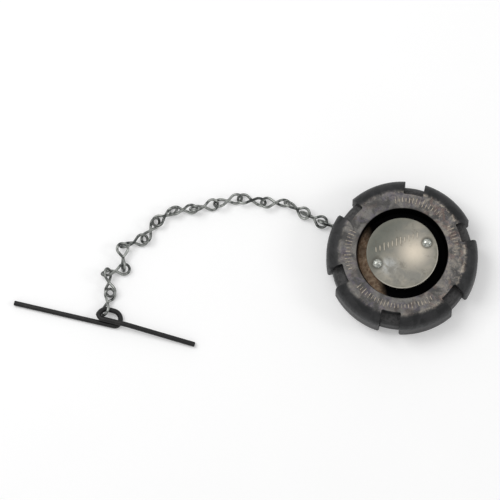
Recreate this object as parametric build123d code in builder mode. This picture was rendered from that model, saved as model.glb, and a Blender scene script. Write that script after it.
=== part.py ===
from build123d import *
from math import asin, atan2, cos, degrees, radians, sin, sqrt, tan
import os

# Screw-on fuel filler cap with a vent valve, a retaining chain and a toggle bar.
# Origin: centre of the mouth, on the rim plane. +Z runs up through the cap.
# Sizes in millimetres.

# Cap shell, a lobed die casting
cap_diameter = 114.3
cap_height = 28.7
bore_diameter = 102.0
bore_depth = 13.5
lobe_count = 6
lobe_phase = 19.5
notch_width = 15.0
notch_root_radius = 45.5
notch_floor_height = 19.5
shoulder_radius = 53.4
shoulder_height = 12.0
lobe_corner = 1.6
notch_corner = 1.2
edge_start_height = 16.6
ring_outer_radius = 46.5
ring_inner_radius = 34.7
ring_lip_round = 0.9
groove_floor_height = 17.0
groove_floor_radius = 32.6
rim_chamfer = 0.6

# Cored underside of the casting
core_inner_radius = 36.8
core_outer_radius = 42.0
core_roof = 3.7
core_draft = 0.6

# Centre boss with the vent chamber inside
boss_radius = 23.6
chamber_radius = 15.0
boss_vent_count = 3
boss_vent_diameter = 3.6
boss_vent_phase = 53.0

# Gasket in the corner of the bore
gasket_inner_radius = 43.5
gasket_thickness = 2.5
gasket_clearance = 0.3
gasket_edge = 0.4

# Cover disc and its two drive screws
disc_radius = 27.1
disc_thickness = 1.5
disc_edge_round = 0.6
screw_circle_radius = 20.3
screw_angle = 23.0
screw_head_diameter = 7.1
screw_head_height = 2.1
screw_head_edge = 0.4
screw_shank_diameter = 4.2
screw_length = 7.0
screw_point_length = 0.8
screw_point_inset = 0.4

# Vent valve, turned brass, screwed up through the web
flange_flats = 20.0
flange_thickness = 4.0
flange_chamfer = 0.8
valve_radius = 8.0
valve_height = 12.0
valve_wall = 1.8
valve_floor = 2.5
seat_height = 5.0
seat_bore_radius = 4.1
seat_depth = 1.6
port_count = 4
port_diameter = 2.4
port_circle_radius = 4.8
poppet_radius = 5.4
poppet_disc = 2.0
stem_radius = 3.75
stem_length = 4.4
stem_bore_radius = 2.55
stem_lip = 0.8
ball_radius = 2.2
ball_seat_radius = 1.5
ball_travel = 1.0
spring_radius = 4.2
spring_wire = 0.7
spring_coils = 3
retainer_thickness = 1.0
retainer_hole_radius = 2.6

# Swivel eye that carries the chain
swivel_stem_radius = 2.0
swivel_head_radius = 3.3
swivel_head_height = 1.3
collar_radius = 3.5
collar_thickness = 1.1
eye_stem_radius = 1.6
swivel_eye_radius = 4.3
swivel_eye_wire = 2.4
swivel_eye_height = 3.0
working_gap = 0.1

# Retaining chain: two eyes bent at right angles from one wire
link_wire = 2.03
link_pitch = 19.05
link_eye_width = 10.4
link_play = 0.15
strand_overrun = 0.8

# Toggle bar, one wire with a loop in the middle
bar_wire = 3.77
bar_left_length = 73.1
bar_right_length = 67.6
bar_end_chamfer = 0.4
loop_half_width = 8.5
loop_reach = 10.9
loop_top_bend = 6.4
loop_foot_bend = 4.0
loop_foot_offset = 2.6
loop_foot_length = 14.0
loop_foot_creep = 0.25
loop_near_lift = 1.2
loop_far_lift = 3.0
crossing_gap = 0.45
leg_bend = 60.0

# The near side of the rim rides up on the chain, so the ground dips away under the mouth
chain_exit_angle = 153.0
rim_lift = 6.0
chain_hang = 0.9

# How each link lies on the ground: heading, length in pitches, height of either end in eye
# widths, roll. The bunched links near the bar ride up on each other. The first link has no
# starting height of its own: it hangs from the swivel eye.
chain_lie = [
    (5, 1.10, None, 0.40, -40),
    (-5, 0.80, 0.45, 0.45, -65),
    (-5, 0.80, 0.50, 0.25, -65),
    (5, 0.90, 0.25, 0.50, -20),
    (0, 0.65, 0.45, 0.50, -20),
    (-5, 0.90, 0.45, 0.45, -30),
    (25, 0.95, 0.50, 0.45, -70),
    (15, 0.95, 0.50, 0.35, -65),
    (40, 1.00, 0.45, 0.40, -50),
    (40, 0.95, 0.35, 0.50, -35),
    (30, 0.75, 0.55, 0.35, -55),
    (60, 0.85, 0.55, 0.35, -70),
    (85, 0.80, 0.45, 0.35, -55),
    (45, 0.95, 0.35, 0.45, -30),
    (120, 0.95, 0.65, 0.45, -15),
    (40, 0.65, 0.40, 0.45, -35),
    (125, 0.85, 0.80, 0.35, -60),
    (100, 0.80, 0.35, 0.45, -35),
]
bar_heading = 193.2
bar_seat_along = -4.6
bar_seat_reach = 8.6

os.makedirs("parts", exist_ok=True)

cap_radius = cap_diameter / 2
bore_radius = bore_diameter / 2
web_height = bore_depth
disc_seat = cap_height - disc_thickness


# Cap shell: lobes trimmed by the turned outline, over a turned core
with BuildPart() as cap_body:
    with BuildSketch() as lobe_plan:
        Circle(cap_radius)
        with PolarLocations(notch_root_radius + cap_radius / 2, lobe_count, start_angle=lobe_phase):
            Rectangle(cap_radius + 2 * notch_corner, notch_width, mode=Mode.SUBTRACT)
        Circle(notch_root_radius)
        tips = lobe_plan.vertices().filter_by(lambda v: Vector(*v).length > cap_radius - 0.01)
        fillet(tips, lobe_corner)
        roots = lobe_plan.vertices().filter_by(lambda v: Vector(*v).length < notch_root_radius + 1)
        fillet(roots, notch_corner)
    extrude(amount=cap_height)
    with BuildSketch(Plane.XZ):
        with BuildLine():
            Polyline((0, cap_height), (0, 0), (cap_radius - rim_chamfer, 0), (cap_radius, rim_chamfer))
            Line((cap_radius, rim_chamfer), (cap_radius, edge_start_height))
            EllipticalCenterArc(
                (ring_outer_radius, edge_start_height),
                cap_radius - ring_outer_radius,
                cap_height - edge_start_height,
                start_angle=0,
                arc_size=90,
            )
            Line((ring_outer_radius, cap_height), (0, cap_height))
        make_face()
    revolve(axis=Axis.Z, mode=Mode.INTERSECT)
    with BuildSketch(Plane.XZ):
        with BuildLine():
            Polyline((0, cap_height), (0, 0), (shoulder_radius - rim_chamfer, 0), (shoulder_radius, rim_chamfer))
            Line((shoulder_radius, rim_chamfer), (shoulder_radius, shoulder_height))
            EllipticalCenterArc(
                (notch_root_radius, shoulder_height),
                shoulder_radius - notch_root_radius,
                notch_floor_height - shoulder_height,
                start_angle=0,
                arc_size=90,
            )
            Polyline((notch_root_radius, notch_floor_height), (notch_root_radius, cap_height), (0, cap_height))
        make_face()
    revolve(axis=Axis.Z)

    # Mouth, cored ring, groove, vent chamber and seat for the cover disc
    with BuildSketch(Plane.XZ):
        Polygon((0, 0), (bore_radius, 0), (bore_radius, web_height), (0, web_height), align=None)
        core_roof_height = cap_height - core_roof
        Polygon(
            (core_inner_radius, web_height),
            (core_outer_radius, web_height),
            (core_outer_radius - core_draft, core_roof_height),
            (core_inner_radius + core_draft, core_roof_height),
            align=None,
        )
        Polygon(
            (boss_radius, groove_floor_height),
            (groove_floor_radius, groove_floor_height),
            (ring_inner_radius, cap_height),
            (boss_radius, cap_height),
            align=None,
        )
        Polygon((0, disc_seat), (boss_radius, disc_seat), (boss_radius, cap_height), (0, cap_height), align=None)
        Polygon(
            (0, groove_floor_height),
            (chamber_radius, groove_floor_height),
            (chamber_radius, disc_seat),
            (0, disc_seat),
            align=None,
        )
    revolve(axis=Axis.Z, mode=Mode.SUBTRACT)
    lip = cap_body.edges().filter_by(GeomType.CIRCLE).filter_by(lambda e: abs(e.radius - ring_inner_radius) < 0.01)
    fillet(lip.sort_by(Axis.Z)[-1], ring_lip_round)

    # Hole for the valve, pilot holes for the screws, vents from the chamber to the groove
    with Locations((0, 0, web_height)):
        Cylinder(valve_radius, groove_floor_height, mode=Mode.SUBTRACT)
    with BuildSketch(Plane.XY.offset(disc_seat)):
        with PolarLocations(screw_circle_radius, 2, start_angle=screw_angle):
            Circle(screw_shank_diameter / 2)
    extrude(amount=-screw_length, mode=Mode.SUBTRACT)
    vent_height = (groove_floor_height + disc_seat) / 2
    for k in range(boss_vent_count):
        vent_angle = boss_vent_phase + k * 360 / boss_vent_count
        vent_way = (cos(radians(vent_angle)), sin(radians(vent_angle)), 0)
        with BuildSketch(Plane(origin=(0, 0, vent_height), z_dir=vent_way)):
            Circle(boss_vent_diameter / 2)
        extrude(amount=boss_radius + 1, mode=Mode.SUBTRACT)

# Gasket: a flat ring with soft edges, seated in the corner of the bore
gasket_outer_radius = bore_radius - gasket_clearance
with BuildPart() as cap_gasket:
    with BuildSketch(Plane.XY.offset(web_height - gasket_thickness)):
        Circle(gasket_outer_radius)
        Circle(gasket_inner_radius, mode=Mode.SUBTRACT)
    extrude(amount=gasket_thickness)
    fillet(cap_gasket.faces().sort_by(Axis.Z)[0].edges(), gasket_edge)

# Cover disc on the boss
with BuildPart() as cover_disc:
    with BuildSketch(Plane.XY.offset(disc_seat)):
        Circle(disc_radius)
        with PolarLocations(screw_circle_radius, 2, start_angle=screw_angle):
            Circle(screw_shank_diameter / 2, mode=Mode.SUBTRACT)
    extrude(amount=disc_thickness)
    rim_edge = cover_disc.faces().sort_by(Axis.Z)[-1].edges().filter_by(lambda e: abs(e.radius - disc_radius) < 0.01)
    fillet(rim_edge, disc_edge_round)

# Round-head drive screw, turned about its own axis
head_radius = screw_head_diameter / 2
shank_radius = screw_shank_diameter / 2
point_radius = shank_radius - screw_point_inset
dome_height = screw_head_height - screw_head_edge
dome_radius = (head_radius ** 2 + dome_height ** 2) / (2 * dome_height)
dome_half = asin(head_radius / dome_radius) / 2
dome_middle = (dome_radius * sin(dome_half), screw_head_height - dome_radius * (1 - cos(dome_half)))
with BuildPart() as drive_screw:
    with BuildSketch(Plane.XZ):
        with BuildLine():
            Polyline((0, screw_head_height), (0, -screw_length), (point_radius, -screw_length))
            Polyline((point_radius, -screw_length), (shank_radius, screw_point_length - screw_length))
            Polyline((shank_radius, screw_point_length - screw_length), (shank_radius, 0), (head_radius, 0))
            Line((head_radius, 0), (head_radius, screw_head_edge))
            ThreePointArc((head_radius, screw_head_edge), dome_middle, (0, screw_head_height))
        make_face()
    revolve(axis=Axis.Z)

# Valve body: hexagon flange under the web, shank up into the chamber
valve_base = web_height - flange_thickness
valve_top = web_height + valve_height
valve_bore_radius = valve_radius - valve_wall
floor_top = valve_base + valve_floor
seat_bottom = floor_top + seat_height
seat_top = seat_bottom + seat_depth
with BuildPart() as valve_body:
    with BuildSketch(Plane.XY.offset(valve_base)):
        RegularPolygon(flange_flats / 2, 6, major_radius=False)
    extrude(amount=flange_thickness)
    with BuildSketch(Plane.XZ):
        with BuildLine():
            corner_radius = flange_flats / sqrt(3)
            Polyline(
                (0, valve_base),
                (corner_radius - 2 * flange_chamfer, valve_base),
                (corner_radius, valve_base + flange_chamfer),
                (corner_radius, web_height),
                (0, web_height),
                close=True,
            )
        make_face()
    revolve(axis=Axis.Z, mode=Mode.INTERSECT)
    with BuildSketch(Plane.XY.offset(web_height)):
        Circle(valve_radius)
    extrude(amount=valve_height)
    with BuildSketch(Plane.XZ):
        with BuildLine():
            Polyline(
                (0, floor_top),
                (valve_bore_radius, floor_top),
                (valve_bore_radius, seat_bottom),
                (seat_bore_radius, seat_bottom),
                (seat_bore_radius, seat_top),
                (valve_bore_radius, seat_top),
                (valve_bore_radius, valve_top),
                (0, valve_top),
                close=True,
            )
        make_face()
    revolve(axis=Axis.Z, mode=Mode.SUBTRACT)
    with BuildSketch(Plane.XY.offset(valve_base)):
        Circle(swivel_stem_radius + working_gap)
        with PolarLocations(port_circle_radius, port_count):
            Circle(port_diameter / 2)
    extrude(amount=valve_floor, mode=Mode.SUBTRACT)

# Poppet: a disc on the seat, its hollow stem is the cage of the ball
poppet_base = seat_top + working_gap / 2
poppet_top = poppet_base + poppet_disc
stem_base = poppet_base - stem_length
lip_top = stem_base + stem_lip
seat_sink = sqrt(ball_radius ** 2 - ball_seat_radius ** 2)
ball_height = lip_top + seat_sink + working_gap / 2
cage_top = ball_height + ball_travel + seat_sink + working_gap / 2
with BuildPart() as valve_poppet:
    with BuildSketch(Plane.XZ):
        with BuildLine():
            Polyline(
                (ball_seat_radius, stem_base),
                (stem_radius, stem_base),
                (stem_radius, poppet_base),
                (poppet_radius, poppet_base),
                (poppet_radius, poppet_top),
                (ball_seat_radius, poppet_top),
                (ball_seat_radius, cage_top),
                (stem_bore_radius, cage_top),
                (stem_bore_radius, lip_top),
                (ball_seat_radius, lip_top),
                close=True,
            )
        make_face()
    revolve(axis=Axis.Z)

with BuildPart() as check_ball:
    with Locations((0, 0, ball_height)):
        Sphere(ball_radius)

# Retainer pressed into the top of the valve, and the spring under it
retainer_base = valve_top - retainer_thickness
with BuildPart() as valve_retainer:
    with BuildSketch(Plane.XY.offset(retainer_base)):
        Circle(valve_bore_radius)
        Circle(retainer_hole_radius, mode=Mode.SUBTRACT)
    extrude(amount=retainer_thickness)

spring_space = retainer_base - poppet_top - working_gap
spring_rise = spring_space - spring_wire
with BuildPart() as valve_spring:
    with BuildLine() as coil:
        Helix(spring_rise / spring_coils, spring_rise, spring_radius, center=(0, 0, retainer_base - spring_space + spring_wire / 2 - working_gap / 2))
    with BuildSketch(Plane(origin=coil.line @ 0, z_dir=coil.line % 0)):
        Circle(spring_wire / 2)
    sweep(is_frenet=True)

# Swivel eye: upset head over the valve floor, collar under it, eye in the chain's plane
exit_x = cos(radians(chain_exit_angle))
exit_y = sin(radians(chain_exit_angle))
collar_top = valve_base - working_gap
with BuildPart() as chain_swivel:
    with BuildSketch(Plane.XY.offset(floor_top + working_gap)):
        Circle(swivel_head_radius)
    extrude(amount=swivel_head_height)
    with BuildSketch(Plane.XY.offset(collar_top)):
        Circle(swivel_stem_radius)
    extrude(amount=valve_floor + 2 * working_gap)
    with BuildSketch(Plane.XY.offset(collar_top - collar_thickness)):
        Circle(collar_radius)
    extrude(amount=collar_thickness)
    with BuildSketch(Plane.XY.offset(swivel_eye_height + swivel_eye_radius)):
        Circle(eye_stem_radius)
    extrude(until=Until.NEXT)
    with Locations(Plane(origin=(0, 0, swivel_eye_height), z_dir=(-exit_y, exit_x, 0))):
        Torus(swivel_eye_radius, swivel_eye_wire / 2)

# One eye of a link, from the waist out: half is swept, the other half mirrored
link_eye_radius = (link_eye_width - link_wire) / 2
link_half = (link_pitch + link_wire + link_play) / 2
eye_centre = link_half - link_eye_radius
strand_angle = asin(link_eye_radius / eye_centre)
strand_length = eye_centre * cos(strand_angle)
strand_way = (cos(strand_angle), sin(strand_angle))
with BuildPart() as link_eye:
    with BuildLine() as half_eye:
        strand = Line(
            (-strand_overrun * strand_way[0], -strand_overrun * strand_way[1]),
            (strand_length * strand_way[0], strand_length * strand_way[1]),
        )
        bend_start = 90 + degrees(strand_angle)
        CenterArc((eye_centre, 0), link_eye_radius, bend_start, -bend_start)
    with BuildSketch(Plane(origin=half_eye.line @ 0, z_dir=half_eye.line % 0)):
        Circle(link_wire / 2)
    sweep()
    mirror(about=Plane.XZ)

# Whole link: the eye towards the cap lies flat, the eye towards the bar stands on edge
with BuildPart() as link:
    add(link_eye.part.rotate(Axis.Z, 180))
    add(link_eye.part.rotate(Axis.X, 90))

# Toggle bar: left leg on the ground, up round the loop, back over itself to the right leg
bar_radius = bar_wire / 2
cross_height = bar_radius + bar_wire + crossing_gap
with BuildPart() as toggle_blank:
    with BuildLine() as bar_path:
        FilletPolyline(
            (-bar_left_length, 0, bar_radius),
            (loop_half_width, 0, bar_radius),
            (loop_half_width, loop_reach, bar_radius + loop_near_lift),
            (-loop_half_width, loop_reach, bar_radius + loop_far_lift),
            (-loop_half_width, loop_foot_offset, cross_height),
            (loop_foot_length, loop_foot_offset - loop_foot_creep, cross_height),
            (bar_right_length, 0, bar_radius),
            radius=[loop_foot_bend, loop_top_bend, loop_top_bend, loop_foot_bend, leg_bend],
        )
    with BuildSketch(Plane(origin=bar_path.line @ 0, z_dir=bar_path.line % 0)):
        Circle(bar_radius)
    sweep()
    chamfer(toggle_blank.faces().filter_by(GeomType.PLANE).edges(), bar_end_chamfer)


# Ground plane: touches the far side of the rim and dips under the side that the chain lifts
# A wider rim reaches past the waist of the fourth link, and its upright eye lifts the rim further
waist_way = sum(row[1] for row in chain_lie[:3]) + chain_lie[3][1] / 2
eye_lift = max(0, cap_radius - waist_way * link_pitch)
rim_middle = (cap_radius + bore_radius) / 2
tilt = atan2(rim_lift + eye_lift, cap_radius + rim_middle)
ground = Plane(
    origin=(-cap_radius * exit_x, -cap_radius * exit_y, 0),
    x_dir=(exit_x * cos(tilt), exit_y * cos(tilt), -sin(tilt)),
    z_dir=(exit_x * sin(tilt), exit_y * sin(tilt), cos(tilt)),
)

# Links laid one after another from the swivel eye
links = []
along = cap_radius
across = 0
hang_height = swivel_eye_height + cap_radius * tan(tilt) - chain_hang
for heading, pitches, start_share, end_share, roll in chain_lie:
    start_height = hang_height if start_share is None else start_share * link_eye_width
    end_height = end_share * link_eye_width
    rise = end_height - start_height
    reach = sqrt((pitches * link_pitch) ** 2 - rise ** 2)
    step_x = reach * cos(radians(heading))
    step_y = reach * sin(radians(heading))
    middle = Pos(along + step_x / 2, across + step_y / 2, (start_height + end_height) / 2)
    dip = degrees(atan2(rise, reach))
    lie = ground.location * middle * Rot(0, 0, heading) * Rot(0, -dip, 0) * Rot(roll, 0, 0)
    links.append(link.part.moved(lie))
    along += step_x
    across += step_y

# The bar's loop hangs in the eye of the last link
bar_turn = radians(bar_heading)
seat_x = bar_seat_along * cos(bar_turn) - bar_seat_reach * sin(bar_turn)
seat_y = bar_seat_along * sin(bar_turn) + bar_seat_reach * cos(bar_turn)
bar_lie = ground.location * Pos(along - seat_x, across - seat_y, 0) * Rot(0, 0, bar_heading)
toggle_bar = toggle_blank.part.moved(bar_lie)

screws = []
for k in range(2):
    turn = radians(screw_angle + 180 * k)
    seat = Pos(screw_circle_radius * cos(turn), screw_circle_radius * sin(turn), cap_height)
    screws.append(drive_screw.part.moved(seat))
screw_right, screw_left = screws

cap_body.part.label = "cap_body"
cap_gasket.part.label = "cap_gasket"
cover_disc.part.label = "cover_disc"
screw_right.label = "drive_screw_right"
screw_left.label = "drive_screw_left"
valve_body.part.label = "valve_body"
valve_poppet.part.label = "valve_poppet"
check_ball.part.label = "check_ball"
valve_spring.part.label = "valve_spring"
valve_retainer.part.label = "valve_retainer"
chain_swivel.part.label = "chain_swivel"
toggle_bar.label = "toggle_bar"

export_step(cap_body.part, "parts/cap_body.step")
export_step(cap_gasket.part, "parts/cap_gasket.step")
export_step(cover_disc.part, "parts/cover_disc.step")
export_step(screw_right, "parts/drive_screw_right.step")
export_step(screw_left, "parts/drive_screw_left.step")
export_step(valve_body.part, "parts/valve_body.step")
export_step(valve_poppet.part, "parts/valve_poppet.step")
export_step(check_ball.part, "parts/check_ball.step")
export_step(valve_spring.part, "parts/valve_spring.step")
export_step(valve_retainer.part, "parts/valve_retainer.step")
export_step(chain_swivel.part, "parts/chain_swivel.step")
export_step(toggle_bar, "parts/toggle_bar.step")
for number, placed in enumerate(links, start=1):
    placed.label = f"link_{number:02d}"
    export_step(placed, f"parts/link_{number:02d}.step")
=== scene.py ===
import bpy
import bmesh
import math
from mathutils import Matrix, Vector


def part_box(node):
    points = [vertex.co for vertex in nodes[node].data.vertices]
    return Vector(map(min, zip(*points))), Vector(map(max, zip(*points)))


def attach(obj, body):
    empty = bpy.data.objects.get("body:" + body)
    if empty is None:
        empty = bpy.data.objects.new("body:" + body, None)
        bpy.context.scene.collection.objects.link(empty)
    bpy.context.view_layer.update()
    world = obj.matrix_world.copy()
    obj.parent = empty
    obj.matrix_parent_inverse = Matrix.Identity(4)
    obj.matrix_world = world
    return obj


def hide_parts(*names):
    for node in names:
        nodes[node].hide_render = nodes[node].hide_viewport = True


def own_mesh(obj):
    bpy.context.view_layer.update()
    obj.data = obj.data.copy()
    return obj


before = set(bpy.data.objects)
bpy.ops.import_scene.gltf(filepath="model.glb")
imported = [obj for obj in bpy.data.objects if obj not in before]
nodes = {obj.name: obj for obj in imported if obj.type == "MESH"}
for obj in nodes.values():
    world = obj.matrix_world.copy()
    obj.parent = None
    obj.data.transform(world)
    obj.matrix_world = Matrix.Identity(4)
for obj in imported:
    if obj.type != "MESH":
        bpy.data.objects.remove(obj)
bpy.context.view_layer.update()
scene = bpy.context.scene
scene.view_settings.view_transform = "Standard"


# Camera: a very long lens high over the floor, leaning a little towards the viewer. It aims at a
# point left of the cap, halfway along the chain. The frame's width and the aim are in metres.
VIEW_ELEVATION = math.radians(78.6)
FRAME_WIDTH = 0.3773
LENS = 1100
SENSOR = 36
AIM = Vector((-0.1146, 0.0081, 0))


def add(name, data):
    """A new object in the scene."""
    added = bpy.data.objects.new(name, data)
    scene.collection.objects.link(added)
    return added


back = Vector((0, -math.cos(VIEW_ELEVATION), math.sin(VIEW_ELEVATION)))
camera = add("camera", bpy.data.cameras.new("camera"))
camera.data.lens = LENS
camera.data.sensor_width = SENSOR
camera.location = AIM + back * (FRAME_WIDTH * LENS / SENSOR)
camera.rotation_euler = (-back).to_track_quat("-Z", "Y").to_euler()
scene.camera = camera


# Cap shell: one die casting in satin black paint. Its flat top is worn to grey metal with pink,
# violet and tan stains and a rubbed edge. Towards the right the tan rubs, the pink and the rubbed
# edge grow, partly as painted highlight. The groove is black paint, darkened further as painted
# shade, with a rust brown left side that is partly painted light on its wall. Inside the
# threaded mouth the paint is half gone.
class Tree:
    """A tree of nodes: node() adds one with its settings and with values or links in its sockets."""

    def __init__(self, tree):
        self.tree = tree

    def node(self, kind, settings=None, sockets=None):
        made = self.tree.nodes.new(kind)
        for setting, value in (settings or {}).items():
            setattr(made, setting, value)
        self.feed(made, sockets or {})
        return made

    def feed(self, made, sockets):
        for socket, value in sockets.items():
            value = getattr(value, "socket", value)
            if isinstance(value, bpy.types.NodeSocket):
                self.tree.links.new(value, made.inputs[socket])
            else:
                made.inputs[socket].default_value = value


class Amount:
    """A number that changes over a surface or along a row, to be worked with as numbers are."""

    def __init__(self, tree, socket):
        self.tree = tree
        self.socket = socket

    def math(self, operation, *values):
        made = self.tree.node("ShaderNodeMath", {"operation": operation}, dict(enumerate(values)))
        return Amount(self.tree, made.outputs[0])

    def __add__(self, other):
        return self.math("ADD", self, other)

    def __sub__(self, other):
        return self.math("SUBTRACT", self, other)

    def __rsub__(self, other):
        return self.math("SUBTRACT", other, self)

    def __mul__(self, other):
        return self.math("MULTIPLY", self, other)

    def __truediv__(self, other):
        return self.math("DIVIDE", self, other)

    def __pow__(self, other):
        return self.math("POWER", self, other)

    __radd__ = __add__
    __rmul__ = __mul__

    def cosine(self):
        return self.math("COSINE", self)

    def sine(self):
        return self.math("SINE", self)

    def larger(self, other):
        return self.math("MAXIMUM", self, other)

    def above(self, low, high):
        """0 up to low, 1 from high on, and a smooth step between them."""
        settings = {"interpolation_type": "SMOOTHSTEP"}
        made = self.tree.node("ShaderNodeMapRange", settings, {0: self, 1: low, 2: high})
        return Amount(self.tree, made.outputs[0])


class Finish(Tree):
    """A material that reads its place on the object in millimetres."""

    def __init__(self, name):
        self.material = bpy.data.materials.new(name)
        self.material.use_nodes = True
        super().__init__(self.material.node_tree)
        self.shader = self.tree.nodes["Principled BSDF"]
        coordinates = self.node("ShaderNodeTexCoord").outputs["Object"]
        scaling = self.node("ShaderNodeVectorMath", {"operation": "SCALE"}, {0: coordinates, 3: 1000})
        self.place = scaling.outputs[0]
        split = self.node("ShaderNodeSeparateXYZ", {}, {0: self.place})
        self.x, self.y, self.z = (Amount(self, out) for out in split.outputs)

    def along(self, x, y):
        """An amount that grows in the direction x, y."""
        return self.x * x + self.y * y

    def distance(self, x, y):
        """How far a place lies from the upright line at x, y."""
        return ((self.x - x) * (self.x - x) + (self.y - y) * (self.y - y)) ** 0.5

    def noise(self, size, detail=4, roughness=0.6, distortion=0.0, stretch=(1, 1, 1), shift=0):
        """A random pattern with patches of that size. A shift gives another pattern of its kind."""
        sockets = {"Vector": self.place, "Location": (shift, shift, shift), "Scale": stretch}
        place = self.node("ShaderNodeMapping", {}, sockets).outputs[0]
        sockets = {"Vector": place, "Scale": 1 / size, "Detail": detail}
        sockets |= {"Roughness": roughness, "Distortion": distortion}
        return Amount(self, self.node("ShaderNodeTexNoise", {}, sockets).outputs["Fac"])

    def mix(self, amount, first, second):
        first = (*first, 1) if isinstance(first, tuple) else first
        second = (*second, 1) if isinstance(second, tuple) else second
        sockets = {0: amount, 6: first, 7: second}
        return self.node("ShaderNodeMix", {"data_type": "RGBA"}, sockets).outputs[2]

    def complete(self, colour, roughness, metallic, relief, depth, specular=0.5):
        """Relief is a height from 0 to about 1, and depth is what 1 stands for in millimetres."""
        sockets = {"Strength": 1.0, "Distance": depth / 1000, "Height": relief}
        bump = self.node("ShaderNodeBump", {}, sockets).outputs[0]
        sockets = {"Base Color": colour, "Roughness": roughness, "Metallic": metallic, "Normal": bump}
        self.feed(self.shader, sockets | {"Specular IOR Level": specular})

    def dress(self, *names):
        for name in names:
            nodes[name].data.materials.clear()
            nodes[name].data.materials.append(self.material)


RING_TOP = 28.7
FLAT_EDGE = 47.0
LOBE_EDGE = 56.8
LOBE_FOOT = 16.6
NOTCH_FLOOR = 19.5
NOTCH_START = 45
NOTCH_END = 53.5
GROOVE_EDGE = 34.7
GROOVE_FLOOR = 17.0
RUST_AND_LIGHT_EDGE = 34.0
MOUTH_RADIUS = 51
MOUTH_ROOF = 14.5
RIGHTWARDS = (0.93, 0.15)
TO_LIT_RUST = (-0.974, -0.225)
DEEP_PAINT = (0.004, 0.0045, 0.005)
FADED_PAINT = (0.020, 0.020, 0.021)
RIM_GREY = (0.055, 0.057, 0.060)
NOTCH_GREY = (0.062, 0.060, 0.060)
DULL_CASTING = (0.075, 0.074, 0.072)
CLEAN_CASTING = (0.190, 0.186, 0.180)
DARK_METAL = (0.066, 0.064, 0.062)
LIGHT_METAL = (0.160, 0.154, 0.146)
PINK_STAIN = (0.190, 0.128, 0.108)
VIOLET_STAIN = (0.110, 0.096, 0.140)
BLACK_GRAIN = (0.026, 0.025, 0.024)
RUB_AND_HIGHLIGHT_TAN = (0.330, 0.290, 0.240)
EDGE_RUB_AND_HIGHLIGHT = (0.430, 0.380, 0.310)
RUBBED_RIBS = (0.430, 0.375, 0.310)
GROOVE_BLACK_AND_SHADE = (0.0025, 0.0025, 0.0028)
DIM_RUST_AND_LIGHT = (0.290, 0.185, 0.115)
BRIGHT_RUST_AND_LIGHT = (0.520, 0.390, 0.270)

casting = Finish("casting")
radius = casting.distance(0, 0)
cloud = casting.noise(9, detail=6, distortion=0.8)
speck = casting.noise(2.2, detail=6, roughness=0.7)
grain = casting.noise(0.8, detail=4, roughness=0.7)
pink = casting.noise(7, detail=5, distortion=0.8, shift=31).above(0.50, 0.62)
violet = casting.noise(6, detail=5, distortion=0.8, shift=67).above(0.50, 0.62)
# Painted light: this mask makes the right of the flat top lighter and warmer.
lit_right_side = casting.along(*RIGHTWARDS).above(-10, 45)
patches = cloud.above(0.35, 0.65)

paint = casting.mix(patches, DEEP_PAINT, FADED_PAINT)
rim_wear = radius.above(LOBE_EDGE - 2.3, LOBE_EDGE) * (casting.z - LOBE_FOOT).above(-1, 1)
paint = casting.mix(rim_wear * speck.above(0.42, 0.60) * 0.6, paint, RIM_GREY)
notch = (1 - (casting.z - NOTCH_FLOOR).above(0, 0.6)) * radius.above(NOTCH_START, NOTCH_START + 1)
notch = notch * (1 - radius.above(NOTCH_END - 2.5, NOTCH_END))
paint = casting.mix(notch * (0.35 + 0.65 * speck.above(0.40, 0.60)), paint, NOTCH_GREY)
mouth = 1 - radius.above(MOUTH_RADIUS + 0.2, MOUTH_RADIUS + 0.8)
mouth = mouth * (1 - casting.z.above(MOUTH_ROOF, MOUTH_ROOF + 0.5))
bare = casting.mix(patches, DULL_CASTING, CLEAN_CASTING)
paint = casting.mix(mouth * (0.45 + 0.45 * speck.above(0.35, 0.60)), paint, bare)

metal = casting.mix(cloud.above(0.38, 0.62), DARK_METAL, LIGHT_METAL)
metal = casting.mix(pink * (0.15 + 0.40 * lit_right_side), metal, PINK_STAIN)
metal = casting.mix(violet * (0.34 - 0.14 * lit_right_side), metal, VIOLET_STAIN)
metal = casting.mix(grain.above(0.50, 0.68) * 0.55, metal, BLACK_GRAIN)
# Tan rubs: partly real wear, partly a painted highlight that grows towards the right.
rub_and_highlight = (0.20 + 0.80 * lit_right_side) * (0.6 * speck + 0.4 * cloud).above(0.47, 0.62)
metal = casting.mix(rub_and_highlight * 0.60, metal, RUB_AND_HIGHLIGHT_TAN)

top = (casting.z - RING_TOP).above(-0.9, -0.2)
flat = top * (FLAT_EDGE + 3 * speck + 3 * cloud - radius).above(0, 4)
colour = casting.mix(flat, paint, metal)
edge = radius.above(FLAT_EDGE - 1.2, FLAT_EDGE - 0.2) - radius.above(FLAT_EDGE, FLAT_EDGE + 1.6)
# Rubbed edge of the flat top: partly real wear, partly a painted highlight, strongest on the right.
edge_rub_and_highlight = top * edge * (0.15 + 0.85 * lit_right_side) * (0.7 * speck + 0.3 * cloud).above(0.42, 0.62)
colour = casting.mix(edge_rub_and_highlight * 0.75, colour, EDGE_RUB_AND_HIGHLIGHT)
raised = (casting.z - RING_TOP).above(0.12, 0.40)
colour = casting.mix(raised * (0.20 + 0.60 * speck.above(0.40, 0.58)), colour, RUBBED_RIBS)

# Groove: black paint plus painted shade of the deep groove; it is made fully metallic so that it shows
# no sheen.
inside = (GROOVE_EDGE + 0.4 - radius).above(0, 0.6) * (RING_TOP - casting.z).above(0.2, 1.0)
inside = inside * (casting.z - GROOVE_FLOOR).above(-0.6, -0.2)
colour = casting.mix(inside, colour, GROOVE_BLACK_AND_SHADE)
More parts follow.
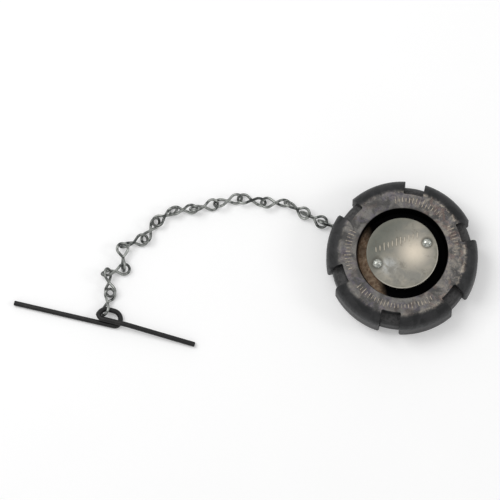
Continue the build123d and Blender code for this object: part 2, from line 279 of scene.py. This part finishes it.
# Left side of the groove: rust brown, partly real rust and partly painted light falling on its wall.
rust_and_lit_wall = casting.along(*TO_LIT_RUST).above(17, 26) * (RUST_AND_LIGHT_EDGE - radius).above(0, 1.5) * inside
rust_and_lit_wall = rust_and_lit_wall * (0.55 + 0.45 * cloud.above(0.35, 0.60))
colour = casting.mix(rust_and_lit_wall, colour, casting.mix(speck.above(0.38, 0.62), DIM_RUST_AND_LIGHT, BRIGHT_RUST_AND_LIGHT))

roughness = 0.40 + 0.16 * speck + 0.08 * flat - 0.12 * edge_rub_and_highlight + 0.20 * inside
metallic = 0.40 * flat * (1 - inside) + inside * (1 - rust_and_lit_wall)
relief = 0.5 * speck + 0.3 * cloud + 0.2 * grain
casting.complete(colour, roughness, metallic, relief, depth=0.22, specular=0.25)
casting.dress("cap_body")


# Ring ribs: plain ribs, cast in rows on the flat top of the ring and half sunk in its metal.
# Each row is grown along an arc, and its ribs differ in length. Their paint is rubbed away.
class Growth(Tree):
    """A geometry tree with named inputs, which grows plain mesh objects."""

    def __init__(self, name, inputs):
        super().__init__(bpy.data.node_groups.new(name, "GeometryNodeTree"))
        inputs = inputs | {"Metal": "Material"}
        interface = self.tree.interface
        interface.new_socket("Geometry", in_out="OUTPUT", socket_type="NodeSocketGeometry")
        for label, kind in inputs.items():
            interface.new_socket(label, in_out="INPUT", socket_type=f"NodeSocket{kind}")
        sockets = [item for item in interface.items_tree if item.in_out == "INPUT"]
        self.identifiers = {socket.name: socket.identifier for socket in sockets}
        given = self.node("NodeGroupInput").outputs
        self.given = {label: Amount(self, given[label]) for label in inputs}

    def vector(self, x=0, y=0, z=0):
        return self.node("ShaderNodeCombineXYZ", {}, {0: x, 1: y, 2: z}).outputs[0]

    def finish(self, geometry):
        """Ends the tree with real, smooth faces in the metal that it is given."""
        endings = {"GeometryNodeRealizeInstances": {}, "GeometryNodeSetShadeSmooth": {}}
        endings |= {"GeometryNodeSetMaterial": {"Material": self.given["Metal"]}}
        for kind, sockets in endings.items():
            geometry = self.node(kind, {}, {"Geometry": geometry} | sockets).outputs[0]
        self.node("NodeGroupOutput", {}, {0: geometry})

    def grow(self, name, **values):
        """A new object with what the tree makes of these values, as a plain mesh."""
        grown = add(name, bpy.data.meshes.new(name))
        modifier = grown.modifiers.new(name, "NODES")
        modifier.node_group = self.tree
        for label, value in values.items():
            modifier[self.identifiers[label]] = value
        evaluated = grown.evaluated_get(bpy.context.evaluated_depsgraph_get())
        mesh = bpy.data.meshes.new_from_object(evaluated)
        grown.modifiers.remove(modifier)
        grown.data = mesh
        mesh.name = name
        return grown


RIB_CIRCLE = 40.9
RIB_PITCH = 2.6
RIB_LENGTH = 6.8
RIB_WIDTH = 1.05
SHORTEST_RIB = 0.5
RIB_ARCS = ((45, 97), (-2, 30), (156, 197), (218, 302))
RIB_RINGS = 9
RIB_SIDES = 10
END_FULLNESS = 6
END_WIDTH = 0.03

row_inputs = {"Centre": "Vector", "Radius": "Float", "Start": "Float", "Sweep": "Float", "Count": "Int"}
row_inputs |= {"Length": "Float", "Width": "Float", "Slant": "Float", "Shortest": "Float", "Seed": "Int"}
ribs = Growth("rib_row", row_inputs)
given = ribs.given
index = Amount(ribs, ribs.node("GeometryNodeInputIndex").outputs[0])
angle = given["Start"] + index / (given["Count"] - 1) * given["Sweep"]
reach = ribs.vector(angle.cosine() * given["Radius"], angle.sine() * given["Radius"])
spot = ribs.node("ShaderNodeVectorMath", {"operation": "ADD"}, {0: reach, 1: given["Centre"]}).outputs[0]
points = ribs.node("GeometryNodeMeshLine", {}, {"Count": given["Count"]}).outputs[0]
points = ribs.node("GeometryNodeSetPosition", {}, {"Geometry": points, "Position": spot}).outputs[0]
ends = {"Start": ribs.vector(given["Length"] * -0.5), "End": ribs.vector(given["Length"] * 0.5)}
line = ribs.node("GeometryNodeCurvePrimitiveLine", {}, ends).outputs[0]
line = ribs.node("GeometryNodeResampleCurve", {}, {"Curve": line, "Count": RIB_RINGS}).outputs[0]
share = Amount(ribs, ribs.node("GeometryNodeSplineParameter").outputs["Factor"])
swell = (1 + END_WIDTH - (share * 2 - 1) ** END_FULLNESS) ** 0.5
section = {"Resolution": RIB_SIDES, "Radius": given["Width"] * 0.5}
section = ribs.node("GeometryNodeCurvePrimitiveCircle", {}, section).outputs[0]
sweep = {"Curve": line, "Profile Curve": section, "Scale": swell, "Fill Caps": True}
rib = ribs.node("GeometryNodeCurveToMesh", {}, sweep).outputs[0]
chance = {2: given["Shortest"], 3: 1.0, "Seed": given["Seed"]}
length = ribs.node("FunctionNodeRandomValue", {"data_type": "FLOAT"}, chance).outputs[1]
turn = ribs.vector(z=angle + given["Slant"])
placing = {"Points": points, "Instance": rib, "Rotation": turn, "Scale": ribs.vector(length, 1, 1)}
ribs.finish(ribs.node("GeometryNodeInstanceOnPoints", {}, placing).outputs[0])

for number, (first, last) in enumerate(RIB_ARCS, start=1):
    arc = math.radians(last - first)
    row = ribs.grow(
        f"ring_ribs_{number}",
        Centre=(0, 0, RING_TOP / 1000),
        Radius=RIB_CIRCLE / 1000,
        Start=math.radians(first),
        Sweep=arc,
        Count=round(arc * RIB_CIRCLE / RIB_PITCH) + 1,
        Length=RIB_LENGTH / 1000,
        Width=RIB_WIDTH / 1000,
        Slant=0.0,
        Shortest=SHORTEST_RIB,
        Seed=number,
        Metal=casting.material,
    )
    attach(row, "cap")


# Neck thread: a trapezoid ridge cast and cut inside the mouth, which the filler neck screws into.
# It fades into the wall at both ends.
THREAD_PITCH = 3.175
THREAD_TURNS = 2.7
THREAD_START = 1.7
THREAD_ROOT = 51.02
THREAD_CREST = 48.9
ROOT_HALF = 1.2
CREST_HALF = 0.45
STEPS = 90
FADE_STEPS = 18
FADE_LEFT = 0.04
build = bmesh.new()
count = round(STEPS * THREAD_TURNS)
sections = []
for i in range(count + 1):
    around = math.tau * i / STEPS
    level = THREAD_START + i / STEPS * THREAD_PITCH
    fade = max(FADE_LEFT, min(1, i / FADE_STEPS, (count - i) / FADE_STEPS))
    crest = THREAD_ROOT - (THREAD_ROOT - THREAD_CREST) * fade
    outline = [(THREAD_ROOT, -ROOT_HALF), (crest, -CREST_HALF)]
    outline += [(crest, CREST_HALF), (THREAD_ROOT, ROOT_HALF)]
    ring = [Vector((math.cos(around) * r, math.sin(around) * r, level + h)) / 1000 for r, h in outline]
    sections.append([build.verts.new(place) for place in ring])
for near, far in zip(sections, sections[1:]):
    for here, there in ((0, 1), (1, 2), (2, 3), (3, 0)):
        build.faces.new((near[here], far[here], far[there], near[there]))
build.faces.new(sections[0])
build.faces.new(sections[-1][::-1])
bmesh.ops.recalc_face_normals(build, faces=build.faces)
thread_mesh = bpy.data.meshes.new("neck_thread")
build.to_mesh(thread_mesh)
build.free()
thread_mesh.materials.append(casting.material)
thread = add("neck_thread", thread_mesh)
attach(thread, "cap")


# Gasket: a moulded rubber ring pressed into the corner of the mouth, where it seals on the neck.
# It is dull black with a grey bloom.
BLACK_RUBBER = (0.012, 0.012, 0.012)
GREY_BLOOM = (0.030, 0.029, 0.028)
rubber = Finish("rubber")
bloom = rubber.noise(6)
colour = rubber.mix(bloom.above(0.4, 0.7), BLACK_RUBBER, GREY_BLOOM)
rubber.complete(colour, 0.65 + 0.2 * bloom, 0.0, rubber.noise(0.6), depth=0.03)
rubber.dress("cap_gasket")


# Cover disc: a stamped plate held by two screws, dirty at its edge, with a bright spot right of
# its middle that is partly polish and partly a painted highlight. Its upper left is painted in
# shade, a painted reflection lies below the left screw, a painted highlight runs along its lower
# right rim, and dirt with painted shade rings the screw heads. It is pressed in a little round
# the left screw.
DISC_EDGE = 27.0
LEFT_SCREW = (-18.7, -7.9)
RIGHT_SCREW = (18.7, 7.9)
SCREW_EDGE = 3.8
POLISH_AND_HIGHLIGHT_SPOT = (9, 1)
GLARE_SPOT = (-10, -10)
UPPER_LEFT = (-0.78, 0.62)
LOWER_RIGHT = (0.5, -0.87)
GREY_PLATE = (0.190, 0.185, 0.165)
WARM_PLATE = (0.270, 0.252, 0.212)
SHADED_PLATE = (0.085, 0.092, 0.078)
POLISH_AND_HIGHLIGHT_PLATE = (0.600, 0.535, 0.440)
PLATE_GLARE = (0.420, 0.450, 0.470)
SOOT = (0.105, 0.098, 0.080)
SCUFFS = (0.130, 0.120, 0.100)
EDGE_DIRT = (0.150, 0.145, 0.120)
RIM_HIGHLIGHT = (0.500, 0.470, 0.410)
BRIGHT_RIBS = (0.480, 0.430, 0.350)
SCREW_DIRT_AND_SHADE = (0.070, 0.068, 0.056)

plate = Finish("plate")
from_middle = plate.distance(0, 0)
from_left_screw = plate.distance(*LEFT_SCREW)
from_right_screw = plate.distance(*RIGHT_SCREW)
cloud = plate.noise(9, detail=5, distortion=0.6)
scuff = plate.noise(1.5, detail=6, roughness=0.75, stretch=(1, 0.45, 1))
soot = plate.noise(5, detail=6, roughness=0.7, distortion=0.4, shift=13)
colour = plate.mix(cloud.above(0.35, 0.65), GREY_PLATE, WARM_PLATE)
# Painted shade: the upper left of the disc is darkened.
shaded_upper_left = (plate.along(*UPPER_LEFT) + 8 * cloud).above(4, 26)
colour = plate.mix(shaded_upper_left * 0.80, colour, SHADED_PLATE)
# Bright spot right of the middle: partly polish, partly a painted highlight.
polish_and_highlight = 1 - (plate.distance(*POLISH_AND_HIGHLIGHT_SPOT) + 8 * (cloud - 0.5)).above(0, 17)
colour = plate.mix(polish_and_highlight * 0.90, colour, POLISH_AND_HIGHLIGHT_PLATE)
# Painted reflection: a pale bluish glare below the left screw.
glare_spot = (1 - plate.distance(*GLARE_SPOT).above(2, 9)) * cloud.above(0.40, 0.60)
colour = plate.mix(glare_spot * 0.45, colour, PLATE_GLARE)
colour = plate.mix(soot.above(0.52, 0.70) * (1 - polish_and_highlight) * 0.55, colour, SOOT)
colour = plate.mix(scuff.above(0.60, 0.74) * 0.30, colour, SCUFFS)
dirt = from_middle.above(DISC_EDGE - 4.5, DISC_EDGE) * (0.35 + 0.35 * soot.above(0.40, 0.60))
colour = plate.mix(dirt, colour, EDGE_DIRT)
# Painted highlight: a bright line along the lower right rim of the disc.
lit_lower_right = (plate.along(*LOWER_RIGHT) + 10 * cloud).above(5, 20)
rim_highlight = from_middle.above(DISC_EDGE - 0.8, DISC_EDGE - 0.3) * lit_lower_right
colour = plate.mix(rim_highlight * 0.7, colour, RIM_HIGHLIGHT)
colour = plate.mix((plate.z - RING_TOP).above(0.12, 0.36) * 0.6, colour, BRIGHT_RIBS)
# Dark rings round the screw heads: dirt and painted shade.
near_screws = 1 - from_left_screw.above(SCREW_EDGE, 6.0) * from_right_screw.above(SCREW_EDGE, 5.6)
colour = plate.mix(near_screws * 0.65, colour, SCREW_DIRT_AND_SHADE)
relief = 1.6 * from_left_screw.above(3, 8) + 0.5 * cloud + 0.12 * scuff
plate.complete(colour, 0.34 + 0.16 * scuff + 0.1 * soot, 0.75, relief, depth=0.30)
plate.dress("cover_disc")


# Disc ribs: a slanting row of plain ribs, stamped up from the disc. The ring ribs' tree grows
# them on an arc so wide that the row is nearly straight.
ROW_MIDDLE = Vector((-4.3, 8.4, RING_TOP))
ROW_TURN = math.radians(19.5)
ROW_LENGTH = 33
ROW_BEND = 400
ROW_COUNT = 11
ROW_RIB_LENGTH = 7.0
RIB_SLANT = -0.35
upwards = Vector((-math.sin(ROW_TURN), math.cos(ROW_TURN), 0))
disc_row = ribs.grow(
    "disc_ribs",
    Centre=(ROW_MIDDLE - upwards * ROW_BEND) / 1000,
    Radius=ROW_BEND / 1000,
    Start=ROW_TURN + math.pi / 2 + ROW_LENGTH / ROW_BEND / 2,
    Sweep=-ROW_LENGTH / ROW_BEND,
    Count=ROW_COUNT,
    Length=ROW_RIB_LENGTH / 1000,
    Width=RIB_WIDTH / 1000,
    Slant=RIB_SLANT,
    Shortest=SHORTEST_RIB,
    Seed=8,
    Metal=plate.material,
)
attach(disc_row, "cap")


# Drive screws: hardened steel with hammered round heads, dull with bright smudges. They are
# driven into blind holes in the boss and hold the disc.
DULL_STEEL = (0.20, 0.21, 0.195)
BRIGHT_STEEL = (0.46, 0.46, 0.42)
steel = Finish("steel")
smudge = steel.noise(1.5)
colour = steel.mix(smudge.above(0.4, 0.65), DULL_STEEL, BRIGHT_STEEL)
steel.complete(colour, 0.20 + 0.12 * smudge, 0.95, smudge, depth=0.03)
steel.dress("drive_screw_right", "drive_screw_left")


# Vent valve: body, poppet and retainer turned from brass bar, pushed together under the cap, and
# a steel check ball. The brass shows fine tool rings and some tarnish.
CLEAN_BRASS = (0.60, 0.42, 0.17)
TARNISHED_BRASS = (0.32, 0.23, 0.12)
TOOL_RINGS = 22
brass = Finish("brass")
tarnish = brass.noise(3, detail=5)
rings = ((brass.distance(0, 0) + brass.z) * TOOL_RINGS).sine()
colour = brass.mix(tarnish.above(0.4, 0.7), CLEAN_BRASS, TARNISHED_BRASS)
brass.complete(colour, 0.28 + 0.2 * tarnish, 1.0, 0.5 * rings + tarnish, depth=0.015)
brass.dress("valve_body", "valve_poppet", "valve_retainer")
steel.dress("check_ball")


# Valve spring: bright drawn wire, coiled, held between the poppet and the retainer. It stands for
# the CAD spring; in the real valve it is pressed towards its upper end when the poppet lifts.
SPRING_WIRE = 0.7
SPRING_COILS = 3.0
COIL_STEPS = 40
WIRE_SIDES = 12
SHADED_WIRE = (0.48, 0.48, 0.47)
BRIGHT_WIRE = (0.68, 0.68, 0.67)
wire = Finish("spring_wire")
streak = wire.noise(0.7)
colour = wire.mix(streak, SHADED_WIRE, BRIGHT_WIRE)
wire.complete(colour, 0.25 + 0.1 * streak, 1.0, streak, depth=0.01)
coil_inputs = {"Foot": "Vector", "Radius": "Float", "Rise": "Float", "Coils": "Float", "Wire": "Float"}
coil = Growth("coil_spring", coil_inputs)
given = coil.given
winding = {"Resolution": COIL_STEPS, "Rotations": given["Coils"], "Height": given["Rise"]}
winding |= {"Start Radius": given["Radius"], "End Radius": given["Radius"], "Reverse": True}
turns = coil.node("GeometryNodeCurveSpiral", {}, winding).outputs[0]
turns = coil.node("GeometryNodeSetPosition", {}, {"Geometry": turns, "Offset": given["Foot"]}).outputs[0]
section = {"Resolution": WIRE_SIDES, "Radius": given["Wire"] * 0.5}
section = coil.node("GeometryNodeCurvePrimitiveCircle", {}, section).outputs[0]
sweep = {"Curve": turns, "Profile Curve": section, "Fill Caps": True}
coil.finish(coil.node("GeometryNodeCurveToMesh", {}, sweep).outputs[0])
low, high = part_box("valve_spring")
spring = coil.grow(
    "coil_spring",
    Foot=(0, 0, low.z + SPRING_WIRE / 2 / 1000),
    Radius=(high.x - low.x - SPRING_WIRE / 1000) / 2,
    Rise=high.z - low.z - SPRING_WIRE / 1000,
    Coils=SPRING_COILS,
    Wire=SPRING_WIRE / 1000,
    Metal=wire.material,
)
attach(spring, "cap")
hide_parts("valve_spring")
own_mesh(spring)


# Chain and swivel: bent steel wire, zinc plated, hooked through each other eye by eye.
# The plating has gone dull in patches and is rubbed bright between them.
DULL_ZINC = (0.045, 0.049, 0.047)
BRIGHT_ZINC = (0.285, 0.295, 0.280)
GRIME = (0.025, 0.025, 0.023)
zinc = Finish("zinc")
patch = zinc.noise(5, detail=5, distortion=0.4)
fine = zinc.noise(0.8, detail=5, roughness=0.7)
colour = zinc.mix(patch.above(0.38, 0.60), DULL_ZINC, BRIGHT_ZINC)
colour = zinc.mix(fine.above(0.54, 0.70) * 0.7, colour, GRIME)
zinc.complete(colour, 0.24 + 0.20 * fine, 0.90, fine, depth=0.05)
links = [name for name in nodes if name.startswith("link_")]
zinc.dress("chain_swivel", *links)


# Toggle bar: one wire bent to a bar with a loop, in satin black paint, rubbed a little.
# It stays inside the filler neck, so that the cap can't be lost.
BLACK_WIRE = (0.006, 0.006, 0.006)
RUBBED_WIRE = (0.020, 0.019, 0.018)
black = Finish("black_wire")
rub = black.noise(5, detail=5, distortion=0.3)
colour = black.mix(rub.above(0.5, 0.75), BLACK_WIRE, RUBBED_WIRE)
black.complete(colour, 0.40 + 0.2 * rub, 0.1, black.noise(0.5), depth=0.02, specular=0.3)
black.dress("toggle_bar")


# Floor: a plain pale sheet that is white to the camera and keeps the shadows. It lies just under
# the cap's far rim and dips under the side that the chain lifts.
CAP_RADIUS = 57.15
RIM_LIFT = 6.0
CHAIN_EXIT = math.radians(153)
FLOOR_HALF = 5
FLOOR_DROP = 0.2
FLOOR_CORNERS = ((-1, -1), (1, -1), (1, 1), (-1, 1))
DARKER_FLOOR = (0.83, 0.83, 0.83)
LIGHTER_FLOOR = (0.85, 0.85, 0.85)
NO_GLOW = (0.0, 0.0, 0.0)
FLOOR_GLOW = (0.20, 0.20, 0.20)
rim_middle = (CAP_RADIUS + MOUTH_RADIUS) / 2
tilt = math.atan2(RIM_LIFT, CAP_RADIUS + rim_middle)
outward = Vector((math.cos(CHAIN_EXIT), math.sin(CHAIN_EXIT), 0))
across = Vector((0, 0, 1)).cross(outward)
slope = outward * math.cos(tilt) - Vector((0, 0, math.sin(tilt)))
lie = Matrix((slope, across, slope.cross(across))).transposed()
foot = (-CAP_RADIUS * outward - Vector((0, 0, FLOOR_DROP))) / 1000
corners = [foot + lie @ (Vector((*corner, 0)) * FLOOR_HALF) for corner in FLOOR_CORNERS]
floor_mesh = bpy.data.meshes.new("floor")
floor_mesh.from_pydata(corners, [], [(0, 1, 2, 3)])
floor = add("floor", floor_mesh)


def seen_directly(tree):
    """1 for what the camera sees, also in a mirror or through glass, and 0 for light on things."""
    path = tree.node("ShaderNodeLightPath").outputs
    seen = Amount(tree, path["Is Camera Ray"]).larger(path["Is Glossy Ray"])
    return seen.larger(path["Is Transmission Ray"])


pale = Finish("pale_floor")
mottle = pale.noise(80)
colour = pale.mix(mottle, DARKER_FLOOR, LIGHTER_FLOOR)
pale.complete(colour, 0.95, 0.0, mottle, depth=0.01, specular=0.1)
glow = pale.mix(seen_directly(pale), NO_GLOW, FLOOR_GLOW)
pale.feed(pale.shader, {"Emission Color": glow, "Emission Strength": 1.0})
floor_mesh.materials.append(pale.material)


# Light: a large soft lamp up to the left, a weak one to the right, and a plain surround.
# The surround looks white to the camera and in reflections, and lights things less.
AMBIENT = 0.55
world = bpy.data.worlds.new("world")
scene.world = world
world.use_nodes = True
sky = Tree(world.node_tree)
strength = seen_directly(sky) * (1 - AMBIENT) + AMBIENT
sky.feed(sky.tree.nodes["Background"], {"Color": (1, 1, 1, 1), "Strength": strength})
for name, place, size, power in (
    ("key", Vector((-0.75, 0.40, 1.15)), 0.8, 8),
    ("fill", Vector((0.95, -0.10, 0.90)), 0.4, 2.5),
):
    lamp = add(name, bpy.data.lights.new(name, "AREA"))
    lamp.data.energy = power
    lamp.data.size = size
    lamp.location = place
    lamp.rotation_euler = (-place).to_track_quat("-Z", "Y").to_euler()
